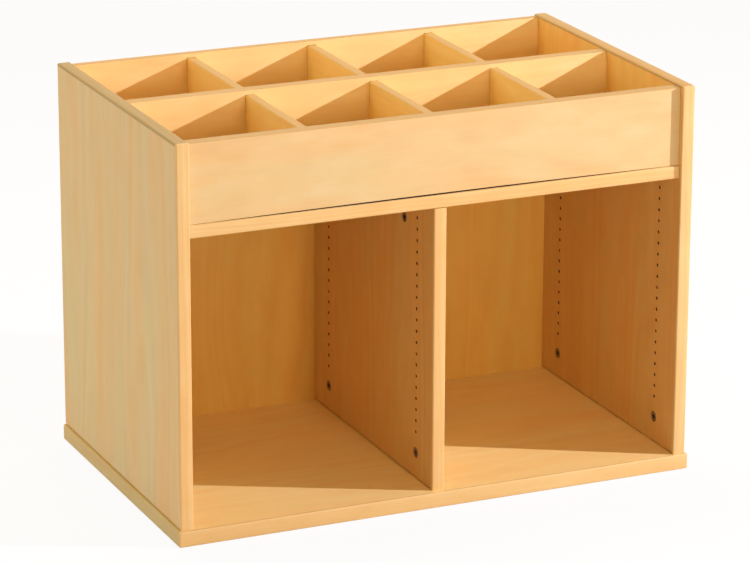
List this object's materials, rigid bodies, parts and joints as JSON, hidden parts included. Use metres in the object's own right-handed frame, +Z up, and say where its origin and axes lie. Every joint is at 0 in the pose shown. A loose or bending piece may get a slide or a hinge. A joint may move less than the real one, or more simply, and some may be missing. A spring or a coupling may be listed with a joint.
{
  "type": "paper storage cabinet",
  "caption": "Free-standing wooden cabinet with open divided bins in its top and open bays below, with lines of pin holes for shelves, joined by cam fasteners and dowels.",
  "frame": {"origin": "on the floor, under the middle of the box around the cabinet", "axes": "+X to the right along the width, +Y to the rear, +Z up; the open front faces -Y"},
  "size_m": [0.757, 0.4584, 0.55],
  "materials": {
    "maple_veneer": "satin lacquer",
    "edge_band": "satin lacquer",
    "back_veneer": "satin lacquer",
    "beech_dowel": "bare",
    "zinc_cam": "dark plated",
    "steel_bolt": "zinc plated"
  },
  "bodies": {
    "carcass": {"base_panel": "maple_veneer", "left_side": "maple_veneer", "right_side": "maple_veneer", "centre_partition": "maple_veneer", "bin_floor": "maple_veneer", "bin_front_board": "maple_veneer", "bin_middle_board": "maple_veneer", "bin_back_board": "maple_veneer", "bin_divider_1": "maple_veneer", "bin_divider_2": "maple_veneer", "bin_divider_3": "maple_veneer", "base_front_band": "edge_band", "base_left_band": "edge_band", "base_right_band": "edge_band", "left_side_front_band": "edge_band", "left_side_top_band": "edge_band", "right_side_front_band": "edge_band", "right_side_top_band": "edge_band", "partition_front_band": "edge_band", "bin_floor_front_band": "edge_band", "lower_back_panel": "back_veneer", "base_bolt_left_front": "steel_bolt", "base_bolt_left_rear": "steel_bolt", "base_bolt_centre_front": "steel_bolt", "base_bolt_centre_rear": "steel_bolt", "base_bolt_right_front": "steel_bolt", "base_bolt_right_rear": "steel_bolt", "partition_head_bolt_front": "steel_bolt", "partition_head_bolt_rear": "steel_bolt", "bin_floor_bolt_left_front": "steel_bolt", "bin_floor_bolt_left_rear": "steel_bolt", "bin_floor_bolt_right_front": "steel_bolt", "bin_floor_bolt_right_rear": "steel_bolt", "base_dowel_left_front": "beech_dowel", "base_dowel_left_rear": "beech_dowel", "base_dowel_centre_front": "beech_dowel", "base_dowel_centre_rear": "beech_dowel", "base_dowel_right_front": "beech_dowel", "base_dowel_right_rear": "beech_dowel", "partition_head_dowel_front": "beech_dowel", "partition_head_dowel_rear": "beech_dowel", "bin_floor_dowel_left_front": "beech_dowel", "bin_floor_dowel_left_rear": "beech_dowel", "bin_floor_dowel_right_front": "beech_dowel", "bin_floor_dowel_right_rear": "beech_dowel"},
    "left_side_cam_front": {"left_side_cam_front": "zinc_cam"},
    "right_side_cam_front": {"right_side_cam_front": "zinc_cam"},
    "partition_foot_cam_front": {"partition_foot_cam_front": "zinc_cam"},
    "partition_head_cam_front": {"partition_head_cam_front": "zinc_cam"},
    "bin_floor_cam_left_front": {"bin_floor_cam_left_front": "zinc_cam"},
    "bin_floor_cam_right_front": {"bin_floor_cam_right_front": "zinc_cam"},
    "left_side_cam_rear": {"left_side_cam_rear": "zinc_cam"},
    "right_side_cam_rear": {"right_side_cam_rear": "zinc_cam"},
    "partition_foot_cam_rear": {"partition_foot_cam_rear": "zinc_cam"},
    "partition_head_cam_rear": {"partition_head_cam_rear": "zinc_cam"},
    "bin_floor_cam_left_rear": {"bin_floor_cam_left_rear": "zinc_cam"},
    "bin_floor_cam_right_rear": {"bin_floor_cam_right_rear": "zinc_cam"}
  },
  "joints": [
    {"name": "left_side_cam_front_turn", "type": "hinge", "parent": "carcass", "child": "left_side_cam_front", "pos_m": [-0.357, -0.16575, 0.059], "axis": [1, 0, 0], "range_deg": [0, 190]},
    {"name": "right_side_cam_front_turn", "type": "hinge", "parent": "carcass", "child": "right_side_cam_front", "pos_m": [0.357, -0.16575, 0.059], "axis": [-1, 0, 0], "range_deg": [0, 190]},
    {"name": "partition_foot_cam_front_turn", "type": "hinge", "parent": "carcass", "child": "partition_foot_cam_front", "pos_m": [-0.009, -0.16575, 0.059], "axis": [-1, 0, 0], "range_deg": [0, 190]},
    {"name": "partition_head_cam_front_turn", "type": "hinge", "parent": "carcass", "child": "partition_head_cam_front", "pos_m": [-0.009, -0.12375, 0.3832], "axis": [-1, 0, 0], "range_deg": [0, 190]},
    {"name": "bin_floor_cam_left_front_turn", "type": "hinge", "parent": "carcass", "child": "bin_floor_cam_left_front", "pos_m": [-0.32, -0.12375, 0.4202], "axis": [0, 0, -1], "range_deg": [0, 190]},
    {"name": "bin_floor_cam_right_front_turn", "type": "hinge", "parent": "carcass", "child": "bin_floor_cam_right_front", "pos_m": [0.32, -0.12375, 0.4202], "axis": [0, 0, -1], "range_deg": [0, 190]},
    {"name": "left_side_cam_rear_turn", "type": "hinge", "parent": "carcass", "child": "left_side_cam_rear", "pos_m": [-0.357, 0.13425, 0.059], "axis": [1, 0, 0], "range_deg": [0, 190]},
    {"name": "right_side_cam_rear_turn", "type": "hinge", "parent": "carcass", "child": "right_side_cam_rear", "pos_m": [0.357, 0.13425, 0.059], "axis": [-1, 0, 0], "range_deg": [0, 190]},
    {"name": "partition_foot_cam_rear_turn", "type": "hinge", "parent": "carcass", "child": "partition_foot_cam_rear", "pos_m": [-0.009, 0.13425, 0.059], "axis": [-1, 0, 0], "range_deg": [0, 190]},
    {"name": "partition_head_cam_rear_turn", "type": "hinge", "parent": "carcass", "child": "partition_head_cam_rear", "pos_m": [-0.009, 0.09225, 0.3832], "axis": [-1, 0, 0], "range_deg": [0, 190]},
    {"name": "bin_floor_cam_left_rear_turn", "type": "hinge", "parent": "carcass", "child": "bin_floor_cam_left_rear", "pos_m": [-0.32, 0.09225, 0.4202], "axis": [0, 0, -1], "range_deg": [0, 190]},
    {"name": "bin_floor_cam_right_rear_turn", "type": "hinge", "parent": "carcass", "child": "bin_floor_cam_right_rear", "pos_m": [0.32, 0.09225, 0.4202], "axis": [0, 0, -1], "range_deg": [0, 190]}
  ]
}
